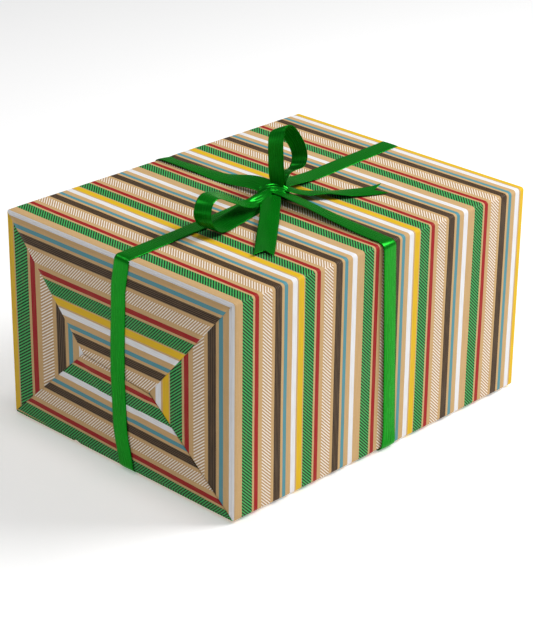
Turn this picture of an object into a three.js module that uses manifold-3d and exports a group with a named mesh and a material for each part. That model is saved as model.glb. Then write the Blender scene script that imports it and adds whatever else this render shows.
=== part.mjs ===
// A wrapped present: a lid-and-base gift carton, one sheet of striped kraft paper folded
// round it, and a satin ribbon tied both ways round with a bow on top.
// Millimetres, +Z up. The long axis is X, the near end is at -X, and the origin is on the
// ground under the middle of the carton.

import * as THREE from 'three';
import * as BufferGeometryUtils from 'three/addons/utils/BufferGeometryUtils.js';
import Module from 'manifold-3d';

const wasm = await Module();
wasm.setup();

// ---- Driving dimensions -------------------------------------------------------------------

const carton = { length: 309.8, width: 238.6, height: 165.4 };
const board = 1.5;              // wall of the carton's lid and base
const lidFit = 0.5;             // slide clearance between lid and base, each side
const paper = 0.4;              // wrapping paper, modelled a little thicker than real
const tape = 0.2;               // double-sided tape
const gap = 0.3;                // clearance kept between pieces that touch
const boardEdge = 1.5;          // rounding of the lid's long top edges

const seam = { y: 60, lap: 25, jog: 4 };           // glued lap on the underside
// End folds. The side tucks stop tuckGap short of meeting. The top flap narrows to tipWidth,
// topReach past mid-height. The bottom flap ends in a hem, hemDrop below mid-height.
const flap = { tuckGap: 16, tipWidth: 16, topReach: 28, hemWidth: 88, hemDrop: 8 };
const seamTape = { length: 280, width: 12 };
const endTape = { length: 50, width: 12 };

const ribbon = { width: 15, thickness: 0.4 };
const lengthwise = { y: 2, slope: 0.07, bend: 0.6 };    // crosses the top slightly askew
const widthwise = { x: 2, peak: 5 };                    // lifts off the paper up to the knot
const knot = { x: 3, y: -2, length: 18, width: 15, height: 8 };
const bowThickness = 0.6;                           // loops and tails, ribbon plus stiffening
const notchDepth = 9;                               // swallow-tail cut

// Centre lines in a vertical plane: distance out from the knot, and height above the paper,
// or for the upper loop above the knot.
const loopLeft = {
  yaw: 193,
  line: [[13, 10], [31, 14], [52, 19], [72, 25], [86, 27.5], [95, 24], [98, 16],
    [94, 8.5], [85, 3.6], [72, 2], [50, 1.8], [30, 2.8], [13, 5.2]],
  pinch: { from: 13, to: 35, share: 0.45 },         // gathered where it enters the knot
};
const loopUpper = {
  yaw: 0,
  line: [[2, 3], [2.4, 14], [3, 28], [6, 36], [12, 39.5], [19, 34], [25, 23], [27.5, 13],
    [24.5, 6.5], [18, 4], [9, 3]],
};
const tailFront = {
  yaw: 220, start: [-8, -13],
  line: [[0, 7.5], [10, 7.2], [24, 5.6], [40, 3], [58, 1.7], [80, 1.5], [100, 1.5]],
};
const tailRight = {
  yaw: -33.5, start: [14, -8],
  line: [[0, 8], [10, 5], [20, 3.4], [34, 5.2], [48, 3.2], [60, 1.6], [72, 1.5]],
};

// ---- Derived levels and lengths -----------------------------------------------------------

const ribbonStep = ribbon.thickness + gap;
const underLap = paper + 2 * gap + tape;            // from the inner lap down to the outer one
const sheetBottom = 2 * ribbonStep;                 // underside of the paper
const cartonBottom = sheetBottom + paper + underLap + gap;
const cartonTop = cartonBottom + carton.height;
const sheetTop = cartonTop + gap + paper;
const sheetWidth = carton.width + 2 * (gap + paper);
const sheetMiddle = (sheetBottom + sheetTop) / 2;
const foldRadius = boardEdge + gap + paper / 2;     // middle of the paper over a long edge
const tuckLayer = carton.length / 2 + gap;          // inner face of each layer at an end
const topFlapLayer = tuckLayer + paper + gap;
const endTapeLayer = topFlapLayer + paper + gap;
const bottomFlapLayer = endTapeLayer + tape + gap;
const endFace = bottomFlapLayer + paper;            // outermost paper at each end
const knotBottom = sheetTop + gap + widthwise.peak + ribbonStep;
const knotTop = knotBottom + knot.height;

// ---- Materials ----------------------------------------------------------------------------

const finish = (color, roughness, metalness = 0) =>
  new THREE.MeshStandardMaterial({ color, roughness, metalness });

const kraftPaper = () => finish(0xc9a577, 0.72);
const greyBoard = () => finish(0xb9b2a6, 0.9);
const clearTape = () => finish(0xe8e4d6, 0.25);
const greenSatin = () => finish(0x0f7a1c, 0.35);

// ---- Building blocks ----------------------------------------------------------------------

const ALONG_Y = new THREE.Matrix4().makeBasis(     // outline in X-Z, extruded along Y
  new THREE.Vector3(1, 0, 0), new THREE.Vector3(0, 0, 1), new THREE.Vector3(0, -1, 0));
const ALONG_X = new THREE.Matrix4().makeBasis(     // outline in Y-Z, extruded along X
  new THREE.Vector3(0, 1, 0), new THREE.Vector3(0, 0, 1), new THREE.Vector3(1, 0, 0));

const present = new THREE.Group();

function addPart(name, geometry, material) {
  const mesh = new THREE.Mesh(geometry, material);
  mesh.name = name;
  present.add(mesh);
  return mesh;
}

function toSolid(geometry) {
  const bare = geometry.clone();
  bare.deleteAttribute('normal');
  bare.deleteAttribute('uv');
  const merged = BufferGeometryUtils.mergeVertices(bare, 1e-4);
  return new wasm.Manifold(new wasm.Mesh({
    numProp: 3,
    vertProperties: new Float32Array(merged.attributes.position.array),
    triVerts: new Uint32Array(merged.index.array),
  }));
}

function cutAway(geometry, tool) {
  const mesh = toSolid(geometry).subtract(toSolid(tool)).getMesh();
  const result = new THREE.BufferGeometry();
  result.setAttribute('position', new THREE.BufferAttribute(mesh.vertProperties, 3));
  result.setIndex(new THREE.BufferAttribute(mesh.triVerts, 1));
  return result;
}

// Extrudes an outline by depth, centred on its plane.
function slab(shape, depth, curveSegments = 5) {
  const settings = { depth, bevelEnabled: false, curveSegments };
  return new THREE.ExtrudeGeometry(shape, settings).translate(0, 0, -depth / 2);
}

// A strip outline of even thickness along a centre line of Vector2 points.
function stripOutline(points, thickness) {
  const left = [];
  const right = [];
  points.forEach((point, i) => {
    const before = points[Math.max(i - 1, 0)];
    const after = points[Math.min(i + 1, points.length - 1)];
    const along = after.clone().sub(before).normalize();
    const side = new THREE.Vector2(-along.y, along.x).multiplyScalar(thickness / 2);
    left.push(point.clone().add(side));
    right.unshift(point.clone().sub(side));
  });
  return new THREE.Shape([...left, ...right]);
}

// A quarter turn of the sheet round a carton edge, from one heading to the next.
function foldPoints(centre, fromAngle, steps = 4) {
  const points = [];
  for (let i = 0; i <= steps; i++) {
    const angle = fromAngle - (i / steps) * Math.PI / 2;
    points.push(new THREE.Vector2(
      centre[0] + foldRadius * Math.cos(angle), centre[1] + foldRadius * Math.sin(angle)));
  }
  return points;
}

// A rounded rectangle between two levels, for the outside or inside of a ribbon ring.
function roundedLoop(path, half, low, high, radius, peak = 0) {
  path.moveTo(half - radius, low);
  path.absarc(half - radius, low + radius, radius, -Math.PI / 2, 0);
  path.lineTo(half, high - radius);
  path.absarc(half - radius, high - radius, radius, 0, Math.PI / 2);
  if (peak > 0) {
    path.lineTo(knot.width / 2, high + peak);
    path.lineTo(-knot.width / 2, high + peak);
  }
  path.lineTo(-half + radius, high);
  path.absarc(-half + radius, high - radius, radius, Math.PI / 2, Math.PI);
  path.lineTo(-half, low + radius);
  path.absarc(-half + radius, low + radius, radius, Math.PI, Math.PI * 1.5);
  path.lineTo(half - radius, low);
  return path;
}

// ---- Carton -------------------------------------------------------------------------------

function addCarton() {
  const half = carton.width / 2;
  const top = carton.height / 2;
  const section = new THREE.Shape();
  section.moveTo(-half, -top);
  section.lineTo(half, -top);
  section.lineTo(half, top - boardEdge);
  section.absarc(half - boardEdge, top - boardEdge, boardEdge, 0, Math.PI / 2);
  section.lineTo(-half + boardEdge, top);
  section.absarc(-half + boardEdge, top - boardEdge, boardEdge, Math.PI / 2, Math.PI);
  section.lineTo(-half, -top);
  const lidOuter = slab(section, carton.length).applyMatrix4(ALONG_X);
  const lidInner = new THREE.BoxGeometry(
    carton.length - 2 * board, carton.width - 2 * board, carton.height);
  lidInner.translate(0, 0, -board);
  addPart('box_lid', cutAway(lidOuter, lidInner), greyBoard())
    .position.z = cartonBottom + top;

  const step = 2 * (board + lidFit);
  const height = carton.height - board - gap;
  const outer = new THREE.BoxGeometry(carton.length - step, carton.width - step, height);
  const inner = new THREE.BoxGeometry(
    carton.length - step - 2 * board, carton.width - step - 2 * board, height);
  inner.translate(0, 0, board);
  addPart('box_base', cutAway(outer, inner), greyBoard())
    .position.z = cartonBottom + height / 2;
}

// ---- Paper --------------------------------------------------------------------------------

// The girth of the sheet, from its inner lap, once round the carton, to its outer lap.
function addSleeve() {
  const half = sheetWidth / 2 - paper / 2 - foldRadius;
  const low = sheetBottom + paper / 2;
  const high = sheetTop - paper / 2;
  const lapStart = seam.y - seam.lap / 2;
  const line = [
    new THREE.Vector2(seam.y + seam.lap / 2, low + underLap),
    new THREE.Vector2(lapStart, low + underLap),
    new THREE.Vector2(lapStart - seam.jog, low),
    ...foldPoints([-half, low + foldRadius], -Math.PI / 2),
    ...foldPoints([-half, high - foldRadius], Math.PI),
    ...foldPoints([half, high - foldRadius], Math.PI / 2),
    ...foldPoints([half, low + foldRadius], 0),
    new THREE.Vector2(lapStart + seam.jog, low),
  ];
  const sleeve = addPart('paper_sleeve', slab(stripOutline(line, paper), carton.length),
    kraftPaper());
  sleeve.setRotationFromMatrix(ALONG_X);
}

function addEndPiece(name, corners, thickness, layer, end, material) {
  const shape = new THREE.Shape(corners.map(([y, z]) => new THREE.Vector2(y, z)));
  const piece = addPart(name, slab(shape, thickness), material);
  piece.setRotationFromMatrix(ALONG_X);
  piece.position.x = end * (layer + thickness / 2);
}

// The four folded flaps at one end, and the tape under the last of them.
function addEnd(prefix, end) {
  const half = sheetWidth / 2;
  for (const [side, sign] of [['left', -end], ['right', end]]) {
    const corners = band(sign * half, sheetTop, sign * flap.tuckGap / 2, sheetBottom);
    addEndPiece(`${prefix}_${side}_tuck`, corners, paper, tuckLayer, end, kraftPaper());
  }
  const tip = sheetMiddle - flap.topReach;
  addEndPiece(`${prefix}_top_flap`, taper(half, sheetTop, flap.tipWidth / 2, tip),
    paper, topFlapLayer, end, kraftPaper());
  const hem = sheetMiddle - flap.hemDrop;
  addEndPiece(`${prefix}_bottom_flap`, taper(half, sheetBottom, flap.hemWidth / 2, hem),
    paper, bottomFlapLayer, end, kraftPaper());
  const high = hem - gap;
  const corners = band(-endTape.length / 2, high, endTape.length / 2, high - endTape.width);
  addEndPiece(`${prefix}_tape`, corners, tape, endTapeLayer, end, clearTape());
}

// Corners of a rectangle between two sides and two levels.
const band = (y0, z0, y1, z1) => [[y0, z0], [y0, z1], [y1, z1], [y1, z0]];

// Corners of a flap that narrows from half0 each side at level z0 to half1 at level z1.
const taper = (half0, z0, half1, z1) => [[-half0, z0], [-half1, z1], [half1, z1], [half0, z0]];

function addSeamTape() {
  const strip = new THREE.BoxGeometry(seamTape.length, seamTape.width, tape);
  const level = sheetBottom + paper + gap + tape / 2;
  addPart('seam_tape', strip, clearTape()).position.set(0, seam.y + seam.jog / 2, level);
}

// ---- Ribbon -------------------------------------------------------------------------------

// A ring of ribbon; bend is its inner radius at the corners.
function ringBand(half, low, bend, peak = 0) {
  const { width, thickness } = ribbon;
  const high = sheetTop + gap;
  const shape = roundedLoop(new THREE.Shape(), half + thickness, low, high + thickness,
    bend + thickness, peak);
  shape.holes.push(roundedLoop(new THREE.Path(), half, low + thickness, high, bend, peak));
  return slab(shape, width);
}

function addRibbonRings() {
  const around = ringBand(endFace + gap, sheetBottom - ribbonStep, lengthwise.bend);
  around.applyMatrix4(ALONG_Y);
  around.applyMatrix4(new THREE.Matrix4().makeShear(lengthwise.slope, 0, 0, 0, 0, 0));
  addPart('lengthwise_ribbon', around, greenSatin()).position.y = lengthwise.y;

  const across = ringBand(sheetWidth / 2 + gap, sheetBottom - 2 * ribbonStep,
    foldRadius + paper / 2 + gap, widthwise.peak);
  addPart('widthwise_ribbon', across.applyMatrix4(ALONG_X), greenSatin())
    .position.x = widthwise.x;
}

function addKnot() {
  const body = new THREE.SphereGeometry(0.5, 20, 12).rotateX(Math.PI / 2);
  body.scale(knot.length, knot.width, knot.height);
  addPart('bow_knot', body, greenSatin())
    .position.set(knot.x, knot.y, knotBottom + knot.height / 2);
}

// A loop or tail of ribbon that follows a centre line in one upright plane.
function addStrand(name, { yaw, line, start = [0, 0], pinch }, pieces, level, notched) {
  const curve = new THREE.SplineCurve(line.map(([out, up]) => new THREE.Vector2(out, up)));
  let geometry = slab(stripOutline(curve.getPoints(pieces), bowThickness), ribbon.width);
  geometry.applyMatrix4(ALONG_Y);
  if (pinch) gather(geometry, pinch);
  if (notched) geometry = cutAway(geometry, notch(line.at(-1)[0]));
  const strand = addPart(name, geometry, greenSatin());
  strand.position.set(knot.x + start[0], knot.y + start[1], level);
  strand.rotation.z = THREE.MathUtils.degToRad(yaw);
}

// Narrows a strand towards the knot.
function gather(geometry, { from, to, share }) {
  const position = geometry.attributes.position;
  for (let i = 0; i < position.count; i++) {
    const spread = THREE.MathUtils.smoothstep(position.getX(i), from, to);
    position.setY(i, position.getY(i) * THREE.MathUtils.lerp(share, 1, spread));
  }
}

// The wedge cut out of a tail's end.
function notch(reach) {
  const wedge = new THREE.Shape([
    new THREE.Vector2(reach + 1, -ribbon.width / 2),
    new THREE.Vector2(reach + 1, ribbon.width / 2),
    new THREE.Vector2(reach - notchDepth, 0),
  ]);
  return slab(wedge, 20);
}

// ---- Assembly -----------------------------------------------------------------------------

addCarton();
addSleeve();
addEnd('near_end', -1);
addEnd('far_end', 1);
addSeamTape();
addRibbonRings();
addKnot();
addStrand('bow_loop_left', loopLeft, 44, sheetTop, false);
addStrand('bow_loop_upper', loopUpper, 40, knotTop, false);
addStrand('bow_tail_front', tailFront, 24, sheetTop, true);
addStrand('bow_tail_right', tailRight, 24, sheetTop, true);

export default present;
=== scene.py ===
import math

import bmesh
import bpy
from bpy.props import FloatProperty, FloatVectorProperty, PointerProperty
from mathutils import Matrix, Vector, noise


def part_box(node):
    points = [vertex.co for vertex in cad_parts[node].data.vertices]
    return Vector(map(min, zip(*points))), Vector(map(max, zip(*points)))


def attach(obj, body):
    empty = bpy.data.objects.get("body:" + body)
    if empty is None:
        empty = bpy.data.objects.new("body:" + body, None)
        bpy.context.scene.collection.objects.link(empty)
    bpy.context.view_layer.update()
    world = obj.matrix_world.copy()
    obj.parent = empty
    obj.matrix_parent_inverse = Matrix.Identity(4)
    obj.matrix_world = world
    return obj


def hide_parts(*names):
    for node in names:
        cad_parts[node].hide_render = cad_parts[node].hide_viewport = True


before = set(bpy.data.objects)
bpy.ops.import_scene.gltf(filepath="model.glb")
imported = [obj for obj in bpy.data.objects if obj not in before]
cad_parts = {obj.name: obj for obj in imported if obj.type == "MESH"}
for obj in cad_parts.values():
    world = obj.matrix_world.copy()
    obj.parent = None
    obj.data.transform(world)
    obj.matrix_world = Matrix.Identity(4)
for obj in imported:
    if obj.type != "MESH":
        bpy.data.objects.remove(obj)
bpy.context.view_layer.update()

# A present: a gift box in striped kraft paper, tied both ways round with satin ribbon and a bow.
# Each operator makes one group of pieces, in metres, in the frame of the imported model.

bl_info = {
    "name": "Wrapped Present",
    "version": (1, 0, 0),
    "blender": (4, 5, 0),
    "location": "3D View > Sidebar > Present",
    "description": "Builds a gift box wrapped in striped paper and tied with a satin bow",
    "category": "Add Mesh",
}

MM = 0.001

# ---- Places read from the frame ----

SHEET_LOW, SHEET_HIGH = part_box("paper_sleeve")
SHEET_TOP = SHEET_HIGH.z
SHEET_BOTTOM = SHEET_LOW.z
SHEET_HEIGHT = SHEET_TOP - SHEET_BOTTOM
HALF_WIDTH = SHEET_HIGH.y
END_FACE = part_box("far_end_bottom_flap")[1].x
TUCK_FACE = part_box("far_end_left_tuck")[1].x
KNOT_LOW, KNOT_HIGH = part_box("bow_knot")
KNOT = (KNOT_LOW + KNOT_HIGH) / 2
RIBBON_LOW, RIBBON_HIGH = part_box("widthwise_ribbon")
BOX_BODY = "wrapped_box"


def scene_settings():
    """The three groups of settings kept on the scene."""
    scene = bpy.context.scene
    return scene.present_paper, scene.present_ribbon, scene.present_stage


# ---- Settings ----


def setting(name, description, value, **kind):
    """A number or a vector that a settings group holds."""
    make = FloatVectorProperty if isinstance(value, tuple) else FloatProperty
    return make(name=name, description=description, default=value, **kind)


def colour_setting(name, description, colour):
    """A colour that a settings group holds."""
    return setting(name, description, colour, subtype="COLOR")


class PresentPaper(bpy.types.PropertyGroup):
    """Wrapping paper: its folds and its printed colours."""

    thickness: setting("Thickness", "Thickness of the paper shell", 0.3 * MM, unit="LENGTH")
    long_fold: setting(
        "Long fold", "Outer radius of the folds along the box", 2.6 * MM, unit="LENGTH")
    end_fold: setting(
        "End fold", "Outer radius of the folds round each end", 1.8 * MM, unit="LENGTH")
    kraft: colour_setting("Kraft", "Bare brown paper", (0.62, 0.40, 0.185))
    green: colour_setting("Green", "Green stripe", (0.05, 0.47, 0.115))
    green_line: colour_setting(
        "Green lines", "Slanted lines across the green stripe", (0.005, 0.022, 0.008))
    red: colour_setting("Red", "Red stripe", (0.36, 0.007, 0.011))
    cream: colour_setting("Cream", "Slanted dashes on the kraft stripe", (0.92, 0.85, 0.75))
    cream_line: colour_setting(
        "Cream lines", "Kraft lines between the cream dashes", (0.50, 0.29, 0.12))
    brown: colour_setting("Brown", "Dark brown stripe", (0.024, 0.013, 0.007))
    brown_line: colour_setting(
        "Brown lines", "Fine pale lines along the dark brown stripe", (0.20, 0.125, 0.068))
    blue: colour_setting("Blue", "Thin blue stripe", (0.085, 0.30, 0.36))
    white: colour_setting("White", "White stripe", (0.86, 0.86, 0.88))
    yellow: colour_setting("Yellow", "Yellow stripe", (0.80, 0.50, 0.012))


class PresentRibbon(bpy.types.PropertyGroup):
    """Satin ribbon."""

    width: setting("Width", "Width of the ribbon", RIBBON_HIGH.x - RIBBON_LOW.x, unit="LENGTH")
    thickness: setting("Thickness", "Thickness of the ribbon", 0.35 * MM, unit="LENGTH")
    colour: colour_setting("Colour", "Face of the satin", (0.005, 0.28, 0.012))
    shade: colour_setting("Shade", "Satin between its threads", (0.002, 0.135, 0.006))


class PresentStage(bpy.types.PropertyGroup):
    """Camera and lights."""

    azimuth: setting(
        "Azimuth", "Camera direction round the present", math.radians(-45.7), subtype="ANGLE")
    elevation: setting(
        "Elevation", "Camera height above the horizon", math.radians(24.62), subtype="ANGLE")
    roll: setting(
        "Roll", "Camera turned about its own axis", math.radians(0.584), subtype="ANGLE")
    distance: setting("Distance", "Camera to target", 1.6196, unit="LENGTH")
    target: setting(
        "Target", "Point that the camera looks at", (-0.005, -0.0029, 0.073),
        subtype="TRANSLATION")
    lens: setting("Lens", "Focal length on a 36 mm sensor, in millimetres", 119.5)
    key_power: setting("Key power", "Main softbox, in watts", 28.0)
    fill_power: setting("Fill power", "Far softbox, in watts", 2.0)
    overhead_power: setting("Overhead power", "Small softbox overhead, in watts", 6.5)
    sky: setting("Sky", "Strength of the white surround", 0.19)
    floor_glow: setting("Floor glow", "Light given off by the floor, as a light table", 0.29)


# ---- Node helpers ----


def wire(tree, socket, value):
    """Links a socket to another node's output, or sets it to a plain value."""
    if isinstance(value, bpy.types.NodeSocket):
        tree.links.new(value, socket)
    elif hasattr(value, "__len__") and len(value) == 3 and socket.type == "RGBA":
        socket.default_value = (*value, 1.0)
    else:
        socket.default_value = value


def set_inputs(tree, node, values):
    """Sets or links a node's inputs by name or number."""
    for key, value in values.items():
        wire(tree, node.inputs[key], value)


def add_node(tree, kind, inputs=None, **settings):
    """A node with its settings and inputs."""
    node = tree.nodes.new("ShaderNode" + kind)
    for key, value in settings.items():
        setattr(node, key, value)
    set_inputs(tree, node, inputs or {})
    return node


def calc(tree, operation, *values):
    """A Math node's result."""
    return add_node(
        tree, "Math", dict(enumerate(values)), operation=operation).outputs[0]


def times(tree, first, second):
    """Two values multiplied."""
    return calc(tree, "MULTIPLY", first, second)


def mix_colour(tree, factor, first, second):
    """One colour faded into another."""
    node = add_node(tree, "Mix", data_type="RGBA")
    wire(tree, node.inputs["Factor"], factor)
    wire(tree, node.inputs[6], first)
    wire(tree, node.inputs[7], second)
    return node.outputs[2]


def ramp_value(tree, value, low, high, to_low=0.0, to_high=1.0):
    """A value remapped smoothly from one range to another."""
    return add_node(
        tree, "MapRange",
        {"Value": value, "From Min": low, "From Max": high,
         "To Min": to_low, "To Max": to_high},
        interpolation_type="SMOOTHSTEP").outputs["Result"]


def new_material(name, colour):
    """A material of one plain colour, its node tree and its shader."""
    material = bpy.data.materials.new(name)
    material.use_nodes = True
    material.diffuse_color = (*colour, 1.0)
    shader = material.node_tree.nodes["Principled BSDF"]
    shader.inputs["Base Color"].default_value = (*colour, 1.0)
    return material, material.node_tree, shader


def sheet_coordinates(tree):
    """Distance across and along the sheet, in metres, from its UV map."""
    flat = add_node(tree, "UVMap", uv_map="Sheet").outputs["UV"]
    parts = add_node(tree, "SeparateXYZ", {0: flat})
    return parts.outputs["X"], parts.outputs["Y"]


def grain(tree, across, along, across_scale, along_scale, detail=2.0):
    """Noise stretched over the sheet by its two scales."""
    place = add_node(
        tree, "CombineXYZ",
        {0: times(tree, across, across_scale),
         1: times(tree, along, along_scale)}).outputs[0]
    return add_node(
        tree, "TexNoise", {"Vector": place, "Scale": 1.0, "Detail": detail},
        noise_dimensions="2D").outputs["Fac"]


def even_noise(tree, scale, detail):
    """Noise in the piece's own space, the same in every direction."""
    place = add_node(tree, "TexCoord").outputs["Object"]
    return add_node(
        tree, "TexNoise",
        {"Vector": place, "Scale": scale, "Detail": detail}).outputs["Fac"]


def add_bump(tree, shader, height, distance, strength):
    """Relief from a height signal."""
    bump = add_node(
        tree, "Bump",
        {"Height": height, "Distance": distance, "Strength": strength})
    tree.links.new(bump.outputs["Normal"], shader.inputs["Normal"])


# ---- Striped kraft paper ----

# One run of printed stripes across the paper: paint and width in millimetres.
STRIPE_RUN = (
    ("green", 10.0), ("kraft", 1.8), ("red", 3.7), ("kraft", 3.9), ("cream", 8.8),
    ("kraft", 2.9), ("brown", 6.9), ("kraft", 2.5), ("blue", 3.2), ("kraft", 4.6),
    ("white", 5.1),
)
# The print repeats after two runs, one parted by bare paper and one by a yellow stripe.
STRIPES = (
    (("kraft", 7.6),) + STRIPE_RUN
    + (("kraft", 1.1), ("yellow", 5.4), ("kraft", 1.1)) + STRIPE_RUN
)
REPEAT = sum(width for _, width in STRIPES) * MM
# Each paint's number in the ramp's alpha, by which the shader knows where it is.
PAINT_NUMBERS = {
    paint: 0.1 * (place + 1) for place, paint in enumerate(
        ("kraft", "green", "red", "cream", "brown", "blue", "white", "yellow"))}
HATCH_PER_METRE = 388.0
BROWN_LINES_PER_METRE = 721.3
WHITE_LINES_PER_METRE = 900.0
RIBS_PER_METRE = 950.0


def stripe_ramp(tree, across, paper):
    """The printed stripes as a colour ramp, with each paint's number in its alpha."""
    place = calc(tree, "FRACT", calc(tree, "DIVIDE", across, REPEAT))
    ramp_node = add_node(tree, "ValToRGB", {"Fac": place})
    ramp = ramp_node.color_ramp
    ramp.interpolation = "CONSTANT"
    start = 0.0
    for count, (paint, width) in enumerate(STRIPES):
        if count == 0:
            stop = ramp.elements[0]
            ramp.elements.remove(ramp.elements[1])
        else:
            stop = ramp.elements.new(start * MM / REPEAT)
        stop.color = (*getattr(paper, paint), PAINT_NUMBERS[paint])
        start += width
    return ramp_node.outputs["Color"], ramp_node.outputs["Alpha"]


def printed_kraft(paper):
    """Ribbed kraft paper printed with stripes, hatching and fine lines."""
    material, tree, shader = new_material("striped_kraft_paper", paper.kraft)
    across, along = sheet_coordinates(tree)
    colour, number = stripe_ramp(tree, across, paper)

    def where(paint):
        return calc(tree, "COMPARE", number, PAINT_NUMBERS[paint], 0.04)

    def lines(value, per_metre, low, high):
        wave = calc(tree, "PINGPONG", times(tree, value, per_metre), 0.5)
        return ramp_value(tree, wave, low, high)

    slant = calc(tree, "ADD", across, along)
    hatch = lines(slant, HATCH_PER_METRE, 0.19, 0.27)
    brown_lines = lines(across, BROWN_LINES_PER_METRE, 0.33, 0.45)
    white_lines = times(tree, lines(across, WHITE_LINES_PER_METRE, 0.3, 0.5), 0.07)
    for paint, cover, ink in (
            ("green", hatch, paper.green_line), ("cream", hatch, paper.cream_line),
            ("brown", brown_lines, paper.brown_line), ("white", white_lines, paper.brown)):
        colour = mix_colour(tree, times(tree, where(paint), cover), colour, ink)

    streaks = grain(tree, across, along, 1400.0, 55.0)
    fibres = grain(tree, across, along, 520.0, 520.0, 4.0)
    clouds = grain(tree, across, along, 22.0, 22.0)
    darker = times(tree, ramp_value(tree, streaks, 0.42, 0.66), 0.13)
    colour = mix_colour(tree, darker, colour, (0.30, 0.17, 0.07))
    bare = where("kraft")
    speck = times(tree, ramp_value(tree, fibres, 0.56, 0.74), 0.10)
    speck = times(tree, speck, calc(tree, "ADD", bare, 0.1))
    colour = mix_colour(tree, speck, colour, (0.80, 0.62, 0.40))
    cloud = times(tree, ramp_value(tree, clouds, 0.40, 0.68), 0.008)
    colour = mix_colour(tree, cloud, colour, (0.88, 0.80, 0.70))

    rough = calc(tree, "ADD", times(tree, bare, 0.12), 0.50)
    rough = calc(tree, "ADD", rough, times(tree, fibres, 0.12))
    set_inputs(tree, shader, {
        "Base Color": colour, "Roughness": rough, "Specular IOR Level": 0.14})
    ribs = calc(tree, "PINGPONG", times(tree, across, RIBS_PER_METRE), 0.5)
    height = calc(tree, "ADD", times(tree, ribs, 0.7), fibres)
    add_bump(tree, shader, height, 0.06 * MM, 0.5)
    return material


# ---- Satin, board and tape ----


def green_satin(ribbon):
    """Single-face satin with fine weft threads and a firm woven edge."""
    material, tree, shader = new_material("green_satin", ribbon.colour)
    across, along = sheet_coordinates(tree)
    half = ribbon.width / 2
    edge = ramp_value(tree, calc(tree, "ABSOLUTE", across), half * 0.86, half * 0.97)
    threads = calc(tree, "PINGPONG", times(tree, along, 2600.0), 0.5)
    sheen = grain(tree, across, along, 1900.0, 60.0)
    clouds = grain(tree, across, along, 90.0, 45.0)
    colour = mix_colour(
        tree, ramp_value(tree, sheen, 0.35, 0.7, 0.0, 0.25), ribbon.colour, ribbon.shade)
    colour = mix_colour(
        tree, ramp_value(tree, clouds, 0.35, 0.7, 0.0, 0.18), colour, ribbon.shade)
    colour = mix_colour(tree, times(tree, edge, 0.35), colour, ribbon.shade)
    threads_run = add_node(
        tree, "Tangent", direction_type="UV_MAP", uv_map="Sheet")
    set_inputs(tree, shader, {
        "Base Color": colour, "Roughness": ramp_value(tree, sheen, 0.2, 0.8, 0.20, 0.30),
        "Metallic": 0.55, "Anisotropic": 0.45, "Tangent": threads_run.outputs["Tangent"],
        "Specular IOR Level": 0.3, "Specular Tint": (0.12, 1.0, 0.16)})
    height = calc(tree, "ADD", threads, times(tree, edge, 1.5))
    height = calc(tree, "ADD", height, times(tree, sheen, 0.35))
    add_bump(tree, shader, height, 0.04 * MM, 0.45)
    return material


def grey_board():
    """Uncoated grey board with fibres and flecks."""
    face, fibre, fleck = (0.47, 0.44, 0.39), (0.38, 0.35, 0.30), (0.20, 0.18, 0.16)
    material, tree, shader = new_material("grey_board", face)
    fine, flecks = even_noise(tree, 900.0, 4.0), even_noise(tree, 260.0, 2.0)
    colour = mix_colour(tree, ramp_value(tree, fine, 0.35, 0.65, 0.0, 0.5), face, fibre)
    colour = mix_colour(tree, ramp_value(tree, flecks, 0.66, 0.72, 0.0, 0.6), colour, fleck)
    set_inputs(tree, shader, {"Base Color": colour, "Roughness": 0.88})
    add_bump(tree, shader, fine, 0.1 * MM, 0.4)
    return material


def clear_tape():
    """Clear double-sided tape, slightly yellow, with faint streaks."""
    film, streak = (0.83, 0.80, 0.70), (0.72, 0.68, 0.56)
    material, tree, shader = new_material("clear_tape", film)
    streaks = even_noise(tree, 400.0, 1.0)
    colour = mix_colour(tree, ramp_value(tree, streaks, 0.4, 0.6, 0.0, 0.4), film, streak)
    set_inputs(tree, shader, {"Base Color": colour, "Roughness": 0.22})
    add_bump(tree, shader, streaks, 0.05 * MM, 0.3)
    return material


# ---- Sheets ----


def bent_sheet(name, columns, rows, place, flat, material, thickness, offset=-1.0):
    """A flat grid bent into shape: place(i, j) is a corner's point, and flat(i, j, cell) its
    place on the flat sheet, where cell is the face that asks. It gets its thickness last."""
    shell = bmesh.new()
    sheet_map = shell.loops.layers.uv.new("Sheet")
    bmesh.ops.create_grid(shell, x_segments=columns, y_segments=rows, size=0.5)

    def index(spot):
        return round((spot.x + 0.5) * columns), round((spot.y + 0.5) * rows)

    for face in shell.faces:
        face.smooth = True
        middle = face.calc_center_median()
        cell = (int((middle.x + 0.5) * columns), int((middle.y + 0.5) * rows))
        for loop in face.loops:
            loop[sheet_map].uv = flat(*index(loop.vert.co), cell)
    for vert in shell.verts:
        vert.co = place(*index(vert.co))
    mesh = bpy.data.meshes.new(name)
    shell.to_mesh(mesh)
    shell.free()
    mesh.materials.append(material)
    piece = bpy.data.objects.new(name, mesh)
    bpy.context.scene.collection.objects.link(piece)
    wall = piece.modifiers.new("Thickness", "SOLIDIFY")
    wall.thickness = thickness
    wall.offset = offset
    wall.use_even_offset = True
    return piece


def install(piece, body, slot, *nodes):
    """Hangs a piece on its body in place of the plain solids."""
    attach(piece, body)
    if nodes:
        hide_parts(*nodes)
    return piece


def lerp(low, high, share):
    """The value a share of the way from low to high."""
    return low + (high - low) * share


def smooth(share):
    """An eased step from 0 to 1."""
    share = min(max(share, 0.0), 1.0)
    return share * share * (3 - 2 * share)


def ripple(x, y, z, size, height):
    """A gentle, repeatable unevenness."""
    return height * noise.noise(Vector((x, y, z)) / size)


# ---- Paper round the box ----

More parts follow.
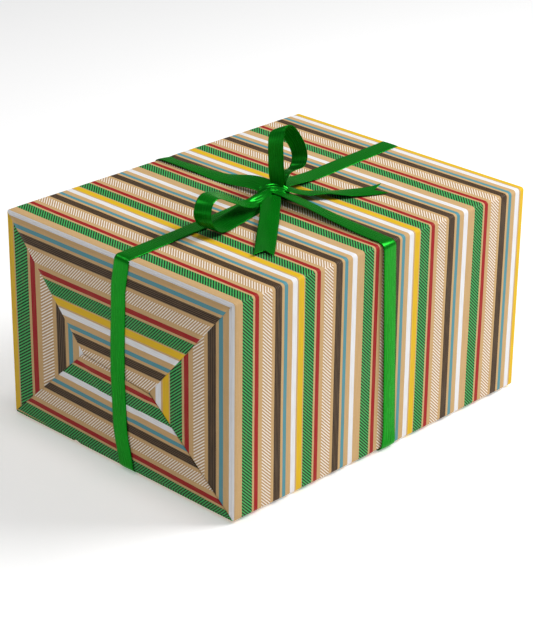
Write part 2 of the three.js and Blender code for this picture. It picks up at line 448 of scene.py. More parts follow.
PRINT_START = 2.0 * MM  # the first stripe starts this far in from the near end
LAP_START, LAP_END = 72.5 * MM, 47.5 * MM  # glued lap on the underside
LAP_DEPTH = 1.2 * MM  # the inner layer of the lap lies this much higher
FOLD_START = TUCK_FACE - 1.2 * MM  # the paper along the box runs this far each way
RIM_STEPS = 6  # cells round an end fold
RIM_FLAT = 0.6 * MM  # flat border past the end fold, level with the flaps
DENT = 0.45 * MM  # how far the widthwise ribbon presses into the long folds
DENT_REACH = 9 * MM  # how fast that dent fades along the box
DENT_MIDDLE = KNOT.x / 3  # where the ribbon goes over the long folds
SWELL, SWELL_SIZE = 0.22 * MM, 45 * MM  # unevenness of the paper along the box
WAVE, WAVE_SIZE = 0.14 * MM, 38 * MM  # unevenness of the folded ends
CALM_BORDER = 12 * MM  # the folded ends lie flat this close to their edges

# How the print runs over each folded end: where it starts at the edge, how fast it goes, and
# whether the rim's print eases into it from the print along the box.
NEAR_PRINT = {
    "top": (-1.3 * MM, -0.98, True), "right": (-0.7 * MM, -0.82, True),
    "left": (63.2 * MM, 0.69, False), "bottom": (-114.6 * MM, 1.0, False)}
FAR_PRINT = {
    side: (2 * END_FACE - PRINT_START, 1.0, True) for side in ("top", "right", "left", "bottom")}
HEM_JUMP = 53.6 * MM  # the bottom flap's print steps here, where it was turned up
HEM_STEP = 7.6 * MM  # and moves on by this much
# How far out each flap's face lies: the tucks lowest, then the top and the bottom flap.
TUCK_LEVEL, TOP_LEVEL, BOTTOM_LEVEL = [TUCK_FACE + out * MM for out in (0.2, 0.60, 0.58)]
END_LEVELS = {"top": TOP_LEVEL, "right": TUCK_LEVEL, "left": TUCK_LEVEL,
              "bottom": BOTTOM_LEVEL}


def girth_profile(paper):
    """The sheet's outer line once round the box, from its inner lap to its outer lap. Each
    station is (y, z, outward direction, side of the box)."""
    radius = paper.long_fold
    side_y, low, high = HALF_WIDTH - radius, SHEET_BOTTOM + radius, SHEET_TOP - radius
    stations = []

    def run(start, end, steps, outward, side):
        for step in range(steps):
            share = step / steps
            stations.append((
                lerp(start[0], end[0], share), lerp(start[1], end[1], share), outward, side))

    def corner(y, z, angle, sides, steps=8):
        for step in range(steps):
            turn = angle - math.radians(90) * step / steps
            outward = Vector((0, math.cos(turn), math.sin(turn)))
            side = sides[0] if step < steps // 2 else sides[1]
            stations.append((
                y + radius * outward.y, z + radius * outward.z, outward, side))

    down, up = Vector((0, 0, -1)), Vector((0, 0, 1))
    front, back = Vector((0, -1, 0)), Vector((0, 1, 0))
    inner = SHEET_BOTTOM + LAP_DEPTH
    run((LAP_START, inner), (LAP_END, inner), 4, down, "bottom")
    run((LAP_END, inner), (LAP_END - 4 * MM, SHEET_BOTTOM), 2, down, "bottom")
    run((LAP_END - 4 * MM, SHEET_BOTTOM), (-side_y, SHEET_BOTTOM), 24, down, "bottom")
    corner(-side_y, low, math.radians(-90), ("bottom", "right"))
    run((-HALF_WIDTH, low), (-HALF_WIDTH, high), 28, front, "right")
    corner(-side_y, high, math.radians(180), ("right", "top"))
    run((-side_y, SHEET_TOP), (side_y, SHEET_TOP), 40, up, "top")
    corner(side_y, high, math.radians(90), ("top", "left"))
    run((HALF_WIDTH, high), (HALF_WIDTH, low), 28, back, "left")
    corner(side_y, low, 0.0, ("left", "bottom"))
    run((side_y, SHEET_BOTTOM), (LAP_END + 4 * MM, SHEET_BOTTOM), 12, down, "bottom")
    stations.append((LAP_END + 4 * MM, SHEET_BOTTOM, down, "bottom"))
    return stations


def fold_level(outward):
    """How far out the end fold goes, eased from side to side round the corners."""
    up = max(outward.z, 0.0) ** 2
    down = max(-outward.z, 0.0) ** 2
    across = outward.y ** 2
    return (END_LEVELS["top"] * up + END_LEVELS["bottom"] * down
            + END_LEVELS["right"] * across)


def print_across(side, end, depth):
    """Place across the print on a folded flap, by its depth from the fold."""
    start, rate, _ = (NEAR_PRINT if end < 0 else FAR_PRINT)[side]
    return start + rate * depth


def make_girth(paper, material):
    """The paper round the four long sides, with its folds over both ends."""
    stations = girth_profile(paper)
    radius = paper.end_fold
    straight = FOLD_START
    body_steps = 84
    columns = [(-1, step / RIM_STEPS) for step in range(RIM_STEPS, 0, -1)]
    columns.insert(0, (-1, None))
    columns += [(0, lerp(-1, 1, step / body_steps)) for step in range(body_steps + 1)]
    columns += [(1, step / RIM_STEPS) for step in range(1, RIM_STEPS + 1)]
    columns.append((1, None))

    def place(i, j):
        end, share = columns[i]
        y, z, outward, side = stations[j]
        if end == 0:
            x = share * straight
            calm = smooth((1 - abs(share)) * 12) * SWELL
            swell = ripple(x, y, z, SWELL_SIZE, calm) if side != "bottom" else 0.0
            pressed = smooth(1.5 - abs(x - DENT_MIDDLE) / DENT_REACH)
            dent = 2 * abs(outward.y * outward.z) * pressed * DENT
            return Vector((x, y, z)) + outward * (swell - dent)
        turn = math.radians(90) * (1.0 if share is None else share)
        inset = radius * (1 - math.cos(turn)) + (RIM_FLAT if share is None else 0.0)
        reach = fold_level(outward) - radius
        rim = lerp(straight, reach, math.sin(turn) ** 0.5) if turn else straight
        x = end * (rim + radius * math.sin(turn))
        return Vector((x, y - outward.y * inset, z - outward.z * inset))

    def flat(i, j, cell):
        end, share = columns[i]
        y, z, _, _ = stations[j]
        side = stations[cell[1]][3]
        along = {"top": -y, "right": z, "left": z, "bottom": y}[side]
        if columns[cell[0]][0] == 0 and columns[min(cell[0] + 1, len(columns) - 1)][0] == 0:
            return share * straight + END_FACE - PRINT_START, along
        rim_end = columns[cell[0]][0] or columns[cell[0] + 1][0]
        done = 0.0 if end == 0 else (1.0 if share is None else share * 0.8)
        joined = (NEAR_PRINT if rim_end < 0 else FAR_PRINT)[side][2]
        depth = radius + RIM_FLAT
        edge = rim_end * straight + END_FACE - PRINT_START
        if joined:
            return lerp(edge, print_across(side, rim_end, depth), done), along
        return print_across(side, rim_end, depth * done), along

    piece = bent_sheet(
        "wrapping_paper", len(columns) - 1, len(stations) - 1, place, flat, material,
        paper.thickness)
    return install(piece, BOX_BODY, "kraft_paper", "paper_sleeve")


# ---- Folded ends ----

# Corners of each flap as seen from outside, in millimetres: to the right of the middle, and
# down from the top. The near end was folded by hand, a little askew.
NEAR_HEM = ((-36.4, 90.0), (35.0, 97.5))
NEAR_TIP = ((-16.0, 112.0), (12.0, 122.0))
FAR_HEM = ((-44.0, 92.0), (44.0, 92.0))
FAR_TIP = ((-8.0, 112.0), (8.0, 112.0))
TUCK_MIDDLE = 8.0  # each tuck stops this far from the middle
TAPE_REACH = 20.0  # the tape goes this far each way from the hem's middle
TAPE_TOP, TAPE_BOTTOM = 3.0, 14.0  # and lies between these distances under the hem
EMBOSS = 0.55 * MM  # how far the hidden top flap lifts the bottom flap
BOTTOM_SKEW = 0.028  # slant of the bottom flap's print


def inside_flap(across, down, tip, shoulders):
    """How far inside the top flap's outline a point lies, in metres."""
    left, right = tip
    shoulder_left, shoulder_right = shoulders

    def beyond(start, end):
        run = Vector((end[0] - start[0], end[1] - start[1])) * MM
        gap = Vector((across - start[0] * MM, down - start[1] * MM))
        return (run.x * gap.y - run.y * gap.x) / run.length

    return -max(beyond(shoulder_left, left), beyond(right, shoulder_right),
                beyond(left, right))


def end_wave(end, across, down):
    """The unevenness of a folded end, which all its layers share."""
    border = min(HALF_WIDTH - abs(across), down, SHEET_HEIGHT - down)
    return smooth(border / CALM_BORDER) * ripple(across, down, end * 0.1, WAVE_SIZE, WAVE)


def make_flap(name, end, corners, side, steps, paper, material, lift=None, jump=None):
    """One flat flap of a folded end. Corners are bottom left, bottom right, top left and top
    right, as seen from outside."""
    columns, rows = steps
    level = END_LEVELS[side]
    bottom_left, bottom_right, top_left, top_right = [
        Vector((across * MM, down * MM)) for across, down in corners]
    jump_row = rows // 2

    def spot(i, j):
        share, rise = i / columns, j / rows
        low = bottom_left.lerp(bottom_right, share)
        high = top_left.lerp(top_right, share)
        if jump is None:
            return low.lerp(high, rise)
        rise_to_jump = SHEET_HEIGHT - jump + BOTTOM_SKEW * low.x - low.y
        cut = rise_to_jump / (high.y - low.y - BOTTOM_SKEW * (high.x - low.x))
        if j <= jump_row:
            return low.lerp(high, cut * j / jump_row)
        return low.lerp(high, lerp(cut, 1.0, (j - jump_row) / (rows - jump_row)))

    def place(i, j):
        at = spot(i, j)
        out = level + (lift(at.x, at.y) if lift else 0.0) + end_wave(end, at.x, at.y)
        return Vector((end * out, end * at.x, SHEET_TOP - at.y))

    def flat(i, j, cell):
        at = spot(i, j)
        depth = {
            "top": at.y, "bottom": SHEET_HEIGHT - at.y,
            "left": HALF_WIDTH + at.x, "right": HALF_WIDTH - at.x}[side]
        if jump is not None:
            depth += BOTTOM_SKEW * at.x
        across = print_across(side, end, depth)
        if jump is not None and cell[1] >= jump_row:
            across += HEM_STEP
        if side in ("top", "bottom"):
            return across, end * at.x
        return across, -(SHEET_TOP - at.y)

    return bent_sheet(
        name, columns, rows, place, flat, material, paper.thickness)


def make_end(prefix, end, hem, tip, paper, material):
    """The two side tucks, the top flap and the bottom flap at one end."""
    inset = (paper.end_fold + RIM_FLAT) / MM
    half, high, low = HALF_WIDTH / MM - inset, inset, SHEET_HEIGHT / MM - inset
    flaps = []
    for side, sign in (("left", -1), ("right", 1)):
        outer, inner = sign * half, sign * TUCK_MIDDLE
        left, right = min(outer, inner), max(outer, inner)
        tuck = make_flap(
            f"{prefix}_{side}_tuck_paper", end,
            ((left, low), (right, low), (left, high), (right, high)), side, (22, 30),
            paper, material)
        flaps.append(install(tuck, BOX_BODY, "kraft_paper", f"{prefix}_{side}_tuck"))
    shoulders = ((-half, high), (half, high))
    top = make_flap(
        f"{prefix}_top_flap_paper", end, (tip[0], tip[1], (-half, high), (half, high)), "top",
        (44, 26), paper, material)
    flaps.append(install(top, BOX_BODY, "kraft_paper", f"{prefix}_top_flap"))

    def emboss(across, down):
        return EMBOSS * smooth(2.0 + inside_flap(across, down, tip, shoulders) / (3 * MM))

    jump = HEM_JUMP if end < 0 else None
    bottom = make_flap(
        f"{prefix}_bottom_flap_paper", end, ((-half, low), (half, low), hem[0], hem[1]),
        "bottom", (64, 34), paper, material, lift=emboss, jump=jump)
    flaps.append(install(bottom, BOX_BODY, "kraft_paper", f"{prefix}_bottom_flap"))
    return flaps


def make_end_tape(prefix, end, hem, material):
    """The strip of tape under the hem, between the top flap and the bottom flap."""
    level = TOP_LEVEL + 0.12 * MM
    left, right = [Vector(corner) * MM for corner in hem]
    middle, course = (left + right) / 2, (right - left).normalized()

    def place(i, j):
        at = middle + course * lerp(-TAPE_REACH, TAPE_REACH, i / 20) * MM
        down = at.y + lerp(TAPE_BOTTOM, TAPE_TOP, j / 6) * MM
        out = level + end_wave(end, at.x, down)
        return Vector((end * out, end * at.x, SHEET_TOP - down))

    def flat(i, j, _):
        return i * 2 * MM, j * 2 * MM

    tape = bent_sheet(f"{prefix}_clear_tape", 20, 6, place, flat, material, 0.08 * MM)
    return install(tape, BOX_BODY, "clear_tape", f"{prefix}_tape")


# ---- Ribbon ----

PLEATS = 2.5  # waves across a ribbon that is gathered
PLEAT_DEPTH = 0.8 * MM  # how deep they'd be if it were gathered to nothing
BOW_CROWN = 0.4 * MM  # how far a loop or a tail rounds up in the middle
NOTCH = 9 * MM  # depth of the swallow-tail cuts

def curve_through(stations, count):
    """Evenly spaced samples of a smooth curve through stations, each a tuple of numbers."""
    def sample(position):
        first = min(int(position), len(stations) - 2)
        share = position - first
        around = [stations[min(max(first + step, 0), len(stations) - 1)]
                  for step in (-1, 0, 1, 2)]
        result = []
        for before, start, end, after in zip(*around):
            result.append(0.5 * (
                2 * start + (end - before) * share
                + (2 * before - 5 * start + 4 * end - after) * share ** 2
                + (3 * start - before - 3 * end + after) * share ** 3))
        return result

    fine = [sample((len(stations) - 1) * step / (count * 6)) for step in range(count * 6 + 1)]
    lengths = [0.0]
    for before, after in zip(fine, fine[1:]):
        lengths.append(lengths[-1] + (Vector(after[:3]) - Vector(before[:3])).length)
    samples, cursor = [], 0
    for step in range(count + 1):
        goal = lengths[-1] * step / count
        while cursor < len(fine) - 2 and lengths[cursor + 1] < goal:
            cursor += 1
        span = max(lengths[cursor + 1] - lengths[cursor], 1e-9)
        share = min((goal - lengths[cursor]) / span, 1.0)
        samples.append([lerp(a, b, share) for a, b in zip(fine[cursor], fine[cursor + 1])])
    return samples, lengths[-1]


def make_ribbon(name, stations, crosswise, ribbon, material, count, crown=0.0, pleats=0.0,
                notch=0.0, across_steps=12):
    """A strip of ribbon along stations (x, y, z, turn, share, slant), with its width along
    crosswise. The turn is about its own line and the slant is in its own face, both in
    degrees. The share is of its full width, and the rest is gathered in pleats."""
    samples, length = curve_through(stations, count)
    points = [Vector(sample[:3]) for sample in samples]
    frames = []
    for step, sample in enumerate(samples):
        ahead = points[min(step + 1, count)] - points[max(step - 1, 0)]
        ahead.normalize()
        wide = (crosswise - ahead * ahead.dot(crosswise)).normalized()
        wide = Matrix.Rotation(math.radians(sample[3]), 3, ahead) @ wide
        up = ahead.cross(wide)
        wide += ahead * math.tan(math.radians(sample[5]))
        frames.append((wide, up, sample[4]))

    def along_of(i, j):
        reach = 3 * notch
        share = abs(2 * i / across_steps - 1)
        along = length * j / count
        if notch and along > length - reach:
            start = length - reach
            along = start + (along - start) * (1 - notch * (1 - share) / reach)
        return along

    def place(i, j):
        position = along_of(i, j) / length * count
        first = min(int(position), count - 1)
        share = position - first
        point = points[first].lerp(points[first + 1], share)
        wide, up, width = [
            lerp(a, b, share) for a, b in zip(frames[first], frames[first + 1])]
        across = 2 * i / across_steps - 1
        lift = crown * (1 - across ** 2)
        gathered = max(0.0, 1 - width)
        lift += pleats * gathered * math.sin(across * math.pi * PLEATS)
        return point + wide * (across * width * ribbon.width / 2) + up * lift

    def flat(i, j, _):
        return (2 * i / across_steps - 1) * ribbon.width / 2, along_of(i, j)

    return bent_sheet(
        name, across_steps, count, place, flat, material, ribbon.thickness, offset=0.0)


def bend(middle, start, radius, steps=4):
    """A quarter turn about a middle, anticlockwise from a start angle in degrees, as pairs of
    distance along the box and height."""
    turns = [math.radians(start + 90 * step / steps) for step in range(steps + 1)]
    return [(middle[0] + radius * math.cos(turn), middle[1] + radius * math.sin(turn))
            for turn in turns]


def make_ring(name, spot, outline, drifts, rolls, crosswise, ribbon, material, count):
    """A ribbon round the box. outline is a closed run of (along, height) that starts and ends
    under the knot, drifts and rolls are (share of the run, value) pairs."""
    lengths = [0.0]
    for before, after in zip(outline, outline[1:]):
        lengths.append(lengths[-1] + math.dist(before, after))

    def between(pairs, share):
        # Straight from each value to the next.
        for (start, low), (end, high) in zip(pairs, pairs[1:]):
            if share <= end:
                return lerp(low, high, (share - start) / (end - start))
        return pairs[-1][1]

    stations = []
    for (along, height), length in zip(outline, lengths):
        share = length / lengths[-1]
        point = spot(along * MM, between(drifts, share) * MM, height * MM)
        stations.append((*point, between(rolls, share), 1.0, 0.0))
    return make_ribbon(
        name, stations, crosswise, ribbon, material, count, crown=0.25 * MM)


# ---- Rings, knot, loops and tails ----


def top(height):
    """Height of a point above the paper's top face, both in millimetres."""
    return SHEET_TOP / MM + height


def over(*spots):
    """Points over the box, whose heights are above the paper's top face."""
    return [(along, top(height)) for along, height in spots]


def even(start, end, steps):
    """Points from start to just short of end."""
    return [(lerp(start[0], end[0], step / steps), lerp(start[1], end[1], step / steps))
            for step in range(steps)]


def make_lengthwise_ring(ribbon, material):
    """The ribbon along the box, over both folded ends."""
    low, high = 0.95, top(0.6)
    face = TUCK_FACE / MM + 1.05  # it lies this far out above the hem
    step_out = face + 0.5  # and this far below it
    reach = 4.0  # radius of its bends over the edges
    outline = over((3, 3), (-6, 2.9), (-12, 2), (-18, 0.9), (-26, 0.6))
    outline += even((-36.0, high), (-face + reach, high), 10)
    outline += bend((-face + reach, high - reach), 90, reach)
    outline += even((-face, high - 6), (-face, 84.0), 8)
    outline += [(-face - 0.1, 82.0), (-face - 0.5, 77.0), (-step_out, 72.0)]
    outline += even((-step_out, 66.0), (-step_out, low + reach), 6)
    outline += bend((-step_out + reach, low + reach), 180, reach)
    outline += even((-step_out + 8, low), (step_out - reach, low), 24)
    outline += bend((step_out - reach, low + reach), 270, reach)
    outline += even((step_out, low + 6), (step_out, 70.0), 6)
    outline += [(step_out, 72.0), (face + 0.5, 77.0), (face + 0.1, 82.0)]
    outline += even((face, 84.0), (face, high - reach), 8)
    outline += bend((face - reach, high - reach), 0, reach)
    outline += even((face - 8, high), (74.0, high), 8)
    outline += over((62, 0.9), (48, 1.8), (36, 3.2), (24, 4.9), (14, 5.9), (3, 5.6))
    drifts = ((0, 0.5), (0.02, 0.0), (0.163, -9.0), (0.172, -7.5), (0.19, -4.0),
              (0.25, -1.5), (0.31, -3.5), (0.335, -9.0), (0.345, -10.5), (0.5, 0.0),
              (0.665, 8.0), (0.74, 10.0), (0.82, 15.5), (0.835, 15.3), (0.90, 11.8),
              (0.95, 8.0), (0.985, 4.2), (1, 3.2))
    rolls = ((0, 0), (0.1, 4), (0.163, 0), (0.83, 0), (0.92, -4), (1, 0))
    return make_ring(
        "lengthwise_ribbon_satin", lambda along, drift, height: (along, drift, height),
        outline, drifts, rolls, Vector((0, -1, 0)), ribbon, material, 420)


def make_widthwise_ring(ribbon, material):
    """The ribbon across the box, looser near the knot."""
    low, high = 0.3, top(0.65)
    face, front = 120.7, 121.6  # how far out it lies on the two sides
    reach = 5.2  # radius of its bends over the edges
    outline = over(
        (2, 5.6), (8, 5.8), (14, 5.9), (22, 5.6), (34, 5), (46, 4.2), (58, 3.3), (70, 2.4),
        (84, 1.6), (98, 1), (front - 12, 0.65))
    outline += bend((front - reach, high - reach), 0, reach)[::-1]
    outline += even((front, high - 8), (front, low + reach), 12)
    outline += bend((front - reach, low + reach), -90, reach)[::-1]
    outline += even((front - 10, low), (-face + reach, low), 18)
    outline += bend((-face + reach, low + reach), 180, reach)[::-1]
    outline += even((-face, low + 8), (-face, high - reach), 12)
    outline += bend((-face + reach, high - reach), 90, reach)[::-1]
    outline += even((-face + 11, high), (-66.0, top(0.9)), 5)
    outline += over(
        (-56, 1.2), (-44, 2.6), (-32, 4.6), (-22, 6.2), (-14, 6.8), (-8, 6.6), (-2, 5.8))
    drifts = ((0, 3), (0.14, -0.8), (0.17, 0.2), (0.25, 3), (0.34, 5.6), (0.5, -1), (0.65, 1),
              (0.86, 1.5), (1, 3))
    rolls = ((0, -12), (0.05, -12), (0.12, -4), (0.16, -7), (0.33, -7), (0.345, 0),
             (0.84, 0), (0.87, -11), (0.92, -4), (0.965, 20), (1, 22))
    return make_ring(
        "widthwise_ribbon_satin", lambda along, drift, height: (drift, -along, height),
        outline, drifts, rolls, Vector((1, 0, 0)), ribbon, material, 360)


def left_of(yaw):
    """The level direction to the left of a course."""
    turn = math.radians(yaw)
    return Vector((-math.sin(turn), math.cos(turn), 0))


def course_from(start, yaw, spots):
    """Stations along a straight course. Each spot is its distance, its place to the left and
    its height, in millimetres, and its turn, share and slant."""
    left = left_of(yaw)

    def station(reach, aside, height, turn, share=1, slant=0):
        return (
            (start[0] + left.y * reach + left.x * aside) * MM,
            (start[1] - left.x * reach + left.y * aside) * MM, top(height) * MM,
            turn, share, slant)

    return [station(*spot) for spot in spots]


def make_bow_part(body, start, yaw, spots, ribbon, material, count, **cut):
    """A loop or a tail on its own body, along a course from the knot."""
    part = make_ribbon(
        f"{body}_satin", course_from(start, yaw, spots), left_of(yaw), ribbon, material,
        count, crown=BOW_CROWN, pleats=PLEAT_DEPTH, **cut)
    return install(part, body, "green_satin", body)


def make_knot(ribbon, material):
    """The strap that grips the bow's middle, gathered into pleats, and the core under it."""
    x, y = KNOT.x / MM, KNOT.y / MM
    strap = (
        (-7, 0, 2.6, 10, 0.62), (-10, 0, 3, 20, 0.62), (-10.8, 0, 4.8, 30, 0.60),
        (-8.6, 0, 6.6, 34, 0.60), (-4.4, 0, 7.7, 34, 0.62), (0.8, 0, 7.9, 32, 0.64),
        (5.8, 0, 6.9, 30, 0.62), (9, 0, 4.8, 24, 0.60), (8.6, 0, 3.2, 10, 0.62),
        (5.4, 0, 2.6, 0, 0.62))
    knot = make_ribbon(
        "knot_strap", course_from((x - 1.4, y - 2.0), -45, strap), left_of(-45), ribbon,
        material, 60, crown=1.2 * MM, pleats=PLEAT_DEPTH, across_steps=20)
    install(knot, BOX_BODY, "green_satin", "bow_knot")
    core = make_ribbon(
        "knot_core",
        [((x + reach) * MM, y * MM, top(height) * MM, turn, share, 0.0)
         for reach, height, turn, share in (
             (-6.0, 4.6, 0, 0.6), (-3.5, 5.2, 6, 0.6), (0.0, 5.4, 0, 0.6),
             (3.0, 5.0, -4, 0.6), (5.5, 4.2, 0, 0.6))],
        Vector((0, 1, 0)), ribbon, material, 30, crown=0.8 * MM, pleats=PLEAT_DEPTH,
        across_steps=16)
    install(core, BOX_BODY, "green_satin")
    return knot, core


def make_loop_left(ribbon, material):
    """The long loop that lies over towards the near end."""
    spots = (
        (6, 1, 7, -30, 0.55), (13, 2.5, 6.6, -42, 0.66), (19, 3.2, 6.4, -50, 0.70),
        (25, 3, 6.6, -52, 0.67), (30.5, 2.5, 7, -48, 0.64), (36, 2, 7.6, -24, 0.70),
        (42, 1.2, 8.8, -16, 0.84), (46.5, 0.6, 10.9, -17, 0.95), (52, 0, 13.7, -20),
        (60, 0, 18.1, -21), (68, 0, 22.2, -20), (75, 0, 25.4, -17), (83, 0, 28.6, -9),
        (89, 0, 29.9, -2), (94, 0, 28.5, 3, 1, -4), (97.3, 0, 25.2, 4, 1, -8),
        (98.7, 0, 20.2, 0, 1, -12), (97.6, 0, 14.8, 0, 1, -15), (93.6, 0.2, 9, 0, 1, -15),
        (87.6, 0.6, 4.6, 4, 1, -6), (80.6, 0.9, 3, 9), (71.6, 1, 2.9, 15), (60, 1, 3, 18),
        (50, 1, 3.1, 19), (40, 1, 3.2, 19, 0.98), (31.4, 1, 3.3, 20, 0.87),
        (22, 1, 3.6, 20, 0.68), (14, 0.5, 4.4, 14, 0.55), (8, 0, 5.8, 4, 0.48))
    return make_bow_part(
        "bow_loop_left", (3.0, -2.0), 193, spots, ribbon, material, 200, across_steps=14)


def make_loop_upper(ribbon, material):
    """The loop that stands up from the knot and leans to the far end."""
    spots = (
        (3.2, 0, 8.4, 5, 0.66), (2.6, 0, 11.5, 5, 0.88), (2, 0, 18, 5), (1.4, 0, 28, 5),
        (1, 0, 36, 4), (0.9, 0, 43.5, 2, 1, -2), (1.7, 0, 48.8, -2, 1, -8),
        (3.6, 0, 52.6, -14, 1, -14), (7.2, 0, 54, -27, 1, -2), (12.7, 0, 50.6, -28, 1, 16),
        (18.9, 0, 43.2, -25, 1, 20), (24.2, 0, 35.2, -17, 1, 17), (26.9, 0, 27.2, -7, 1, 17),
        (25.9, 0, 20.8, 4, 1, 15), (22, 0, 17.9, 16, 1, 2), (16.2, 0, 17.9, 14, 0.92),
        (11.6, 0, 16.8, 12, 0.8), (8.6, 0, 12.6, 8, 0.7), (7.8, 0, 8.4, 0, 0.6))
    return make_bow_part(
        "bow_loop_upper", (3.0, -2.0), 0, spots, ribbon, material, 150, across_steps=14)


def make_tails(ribbon, material):
    """The two loose ends, each cut to a swallow-tail."""
    front_spots = (
        (-4, -1.5, 6.1, 2, 0.74), (2, -2, 6.4, 2, 0.92), (10, -2, 6.3, 2, 0.98),
        (24, -1.6, 5.2, 2), (40, -1, 3.2, -4), (56, -0.8, 2, -3), (72, -0.4, 1.6, 0),
        (88, 0, 1.6, 2), (101, 0, 1.8, 0))
    front = make_bow_part(
        "bow_tail_front", (-8.0, -13.0), 219.9, front_spots, ribbon, material, 130,
        notch=NOTCH)
    right_spots = (
        (-6, -1, 6.8, 0, 0.62), (-2, -2.2, 6.5, 0, 0.78), (4, -4, 5, -4, 0.95),
        (12, -5, 3.4, -6), (20, -5.6, 3.4, -10), (28, -6.2, 3.4, -12), (38, -6.4, 2.4, -6),
        (48, -5.8, 1.6, 0), (58, -4.8, 1.4, 2), (66, -3.7, 1.6, 5), (72.6, -3, 2.4, 10))
    right = make_bow_part(
        "bow_tail_right", (14.0, -8.0), -33.8, right_spots, ribbon, material, 110,
        notch=NOTCH)
    return front, right


# ---- Operators ----


def declare(piece, flat=None):
    mesh = piece.data
    if flat is None:
        spots = [spot.uv for spot in mesh.uv_layers["Sheet"].data]
        flat = [max(spot[axis] for spot in spots) - min(spot[axis] for spot in spots)
                for axis in (0, 1)]


class PRESENT_OT_carton(bpy.types.Operator):
    """Finish the grey board box and the tapes"""

    bl_idname = "present.carton"
    bl_label = "Carton"
    bl_options = {"REGISTER", "UNDO"}

    def execute(self, context):
        """Gives the plain pieces their materials."""
        board, tape = grey_board(), clear_tape()
        for name, finish, slot in (
                ("box_lid", board, "grey_board"), ("box_base", board, "grey_board"),
                ("seam_tape", tape, "clear_tape")):
            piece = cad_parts[name]
            piece.data.materials.clear()
            piece.data.materials.append(finish)
        make_end_tape("near_end", -1, NEAR_HEM, tape)
        make_end_tape("far_end", 1, FAR_HEM, tape)
        return {"FINISHED"}


class PRESENT_OT_wrapping(bpy.types.Operator):
    """Wrap the box in striped kraft paper"""

    bl_idname = "present.wrapping"
    bl_label = "Wrapping paper"
    bl_options = {"REGISTER", "UNDO"}

    def execute(self, context):
        """Makes the paper round the box and the folds at both ends."""
        paper = scene_settings()[0]
        material = printed_kraft(paper)
        girth = make_girth(paper, material)
        girth_run = 2 * (2 * HALF_WIDTH + SHEET_HEIGHT) + LAP_START - LAP_END
        declare(girth, (2 * END_FACE, girth_run))
        for flap in (make_end("near_end", -1, NEAR_HEM, NEAR_TIP, paper, material)
                     + make_end("far_end", 1, FAR_HEM, FAR_TIP, paper, material)):
            declare(flap, flap.dimensions.yz)
        return {"FINISHED"}


class PRESENT_OT_ribbon(bpy.types.Operator):
    """Tie the ribbon round the box both ways"""

    bl_idname = "present.ribbon"
    bl_label = "Ribbon"
    bl_options = {"REGISTER", "UNDO"}

    def execute(self, context):
        """Makes the two rings and the bow with its knot, loops and tails."""
        ribbon = scene_settings()[1]
        material = green_satin(ribbon)
        rings = (
            install(make_lengthwise_ring(ribbon, material), BOX_BODY, "green_satin",
                    "lengthwise_ribbon"),
            install(make_widthwise_ring(ribbon, material), BOX_BODY, "green_satin",
                    "widthwise_ribbon"))
        for ring in rings:
            declare(ring)
        for piece in make_knot(ribbon, material):
            declare(piece)
        declare(make_loop_left(ribbon, material))
        declare(make_loop_upper(ribbon, material))
        for tail in make_tails(ribbon, material):
            declare(tail)
        return {"FINISHED"}


class PRESENT_OT_stage(bpy.types.Operator):
    """Set the camera, the floor and the lights"""

    bl_idname = "present.stage"
    bl_label = "Stage"
    bl_options = {"REGISTER", "UNDO"}

    def execute(self, context):
        """Makes a pale floor under soft studio light, and the camera."""
        stage = scene_settings()[2]
        scene = context.scene
        scene.view_settings.view_transform = "Standard"
        make_floor(stage.floor_glow)
        make_camera(stage)
        make_softbox("key", (1.10, -0.80, 1.30), (0.9, 0.9), stage.key_power)
        make_softbox("fill", (-0.7, 1.05, 1.2), (0.5, 0.5), stage.fill_power)
        make_softbox("overhead", (-0.1, -0.05, 1.6), (0.4, 0.4), stage.overhead_power)
        make_surround(stage.sky)
        return {"FINISHED"}


def make_floor(glow):
    """A wide pale floor."""
    shell = bmesh.new()
    bmesh.ops.create_grid(shell, x_segments=1, y_segments=1, size=12.0)
    mesh = bpy.data.meshes.new("floor")
    shell.to_mesh(mesh)
    shell.free()
    material, tree, shader = new_material("pale_floor", (0.93, 0.93, 0.93))
    set_inputs(tree, shader, {
        "Roughness": 0.9, "Specular IOR Level": 0.1, "Emission Color": (1.0, 1.0, 1.0),
        "Emission Strength": glow})
    mesh.materials.append(material)
    floor = bpy.data.objects.new("floor", mesh)
    floor.location.z = -0.2 * MM
    bpy.context.scene.collection.objects.link(floor)


def make_camera(stage):
    """A camera that looks at the target from its direction and distance."""
    back = Vector((
        math.sin(stage.azimuth) * math.cos(stage.elevation),
        -math.cos(stage.azimuth) * math.cos(stage.elevation), math.sin(stage.elevation)))
    data = bpy.data.cameras.new("camera")
    data.lens = stage.lens
    data.clip_end = 50.0
    camera = bpy.data.objects.new("camera", data)
    camera.rotation_mode = "QUATERNION"
    look = (-back).to_track_quat("-Z", "Y")
    camera.rotation_quaternion = look @ Matrix.Rotation(stage.roll, 3, "Z").to_quaternion()
    camera.location = Vector(stage.target) + back * stage.distance
    bpy.context.scene.collection.objects.link(camera)
    bpy.context.scene.camera = camera


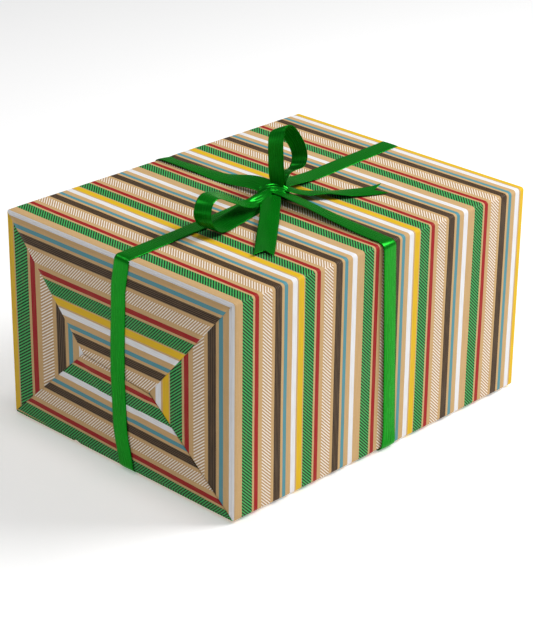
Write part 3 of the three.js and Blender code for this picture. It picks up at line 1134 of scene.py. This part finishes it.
def make_softbox(name, place, size, power):
    """A large soft light aimed at the present."""
    data = bpy.data.lights.new(name, "AREA")
    data.shape = "RECTANGLE"
    data.size, data.size_y = size
    data.energy = power
    light = bpy.data.objects.new(name, data)
    light.rotation_mode = "QUATERNION"
    light.location = place
    light.rotation_quaternion = (Vector((0, 0, 0.08)) - Vector(place)).to_track_quat("-Z", "Y")
    bpy.context.scene.collection.objects.link(light)


def make_surround(strength):
    """An even white surround, seen as plain white and lighting more gently."""
    world = bpy.data.worlds.new("surround")
    world.use_nodes = True
    bpy.context.scene.world = world
    tree = world.node_tree
    seen = add_node(tree, "LightPath").outputs["Is Camera Ray"]
    back = tree.nodes["Background"]
    back.inputs["Color"].default_value = (1.0, 1.0, 1.0, 1.0)
    level = add_node(
        tree, "MapRange", {"Value": seen, "To Min": strength, "To Max": 1.05})
    tree.links.new(level.outputs["Result"], back.inputs["Strength"])


class PRESENT_PT_panel(bpy.types.Panel):
    """Buttons and settings for the wrapped present."""

    bl_idname = "PRESENT_PT_panel"
    bl_label = "Wrapped Present"
    bl_space_type = "VIEW_3D"
    bl_region_type = "UI"
    bl_category = "Present"

    def draw(self, context):
        """Lists the operators in order, and the settings."""
        layout = self.layout
        for operator in OPERATORS:
            layout.operator(operator.bl_idname)
        for group in scene_settings():
            box = layout.box()
            for name in group.__class__.__annotations__:
                box.prop(group, name)


OPERATORS = (PRESENT_OT_carton, PRESENT_OT_wrapping, PRESENT_OT_ribbon, PRESENT_OT_stage)
SETTINGS = (PresentPaper, PresentRibbon, PresentStage)


def register():
    """Adds the settings, operators and panel."""
    for kind in SETTINGS + OPERATORS + (PRESENT_PT_panel,):
        bpy.utils.register_class(kind)
    bpy.types.Scene.present_paper = PointerProperty(type=PresentPaper)
    bpy.types.Scene.present_ribbon = PointerProperty(type=PresentRibbon)
    bpy.types.Scene.present_stage = PointerProperty(type=PresentStage)


def unregister():
    """Removes everything that register added."""
    for name in ("present_stage", "present_ribbon", "present_paper"):
        delattr(bpy.types.Scene, name)
    for kind in reversed(SETTINGS + OPERATORS + (PRESENT_PT_panel,)):
        bpy.utils.unregister_class(kind)


def main():
    """Builds the present."""
    register()
    bpy.ops.present.carton()
    bpy.ops.present.wrapping()
    bpy.ops.present.ribbon()
    bpy.ops.present.stage()


if __name__ == "__main__":
    main()
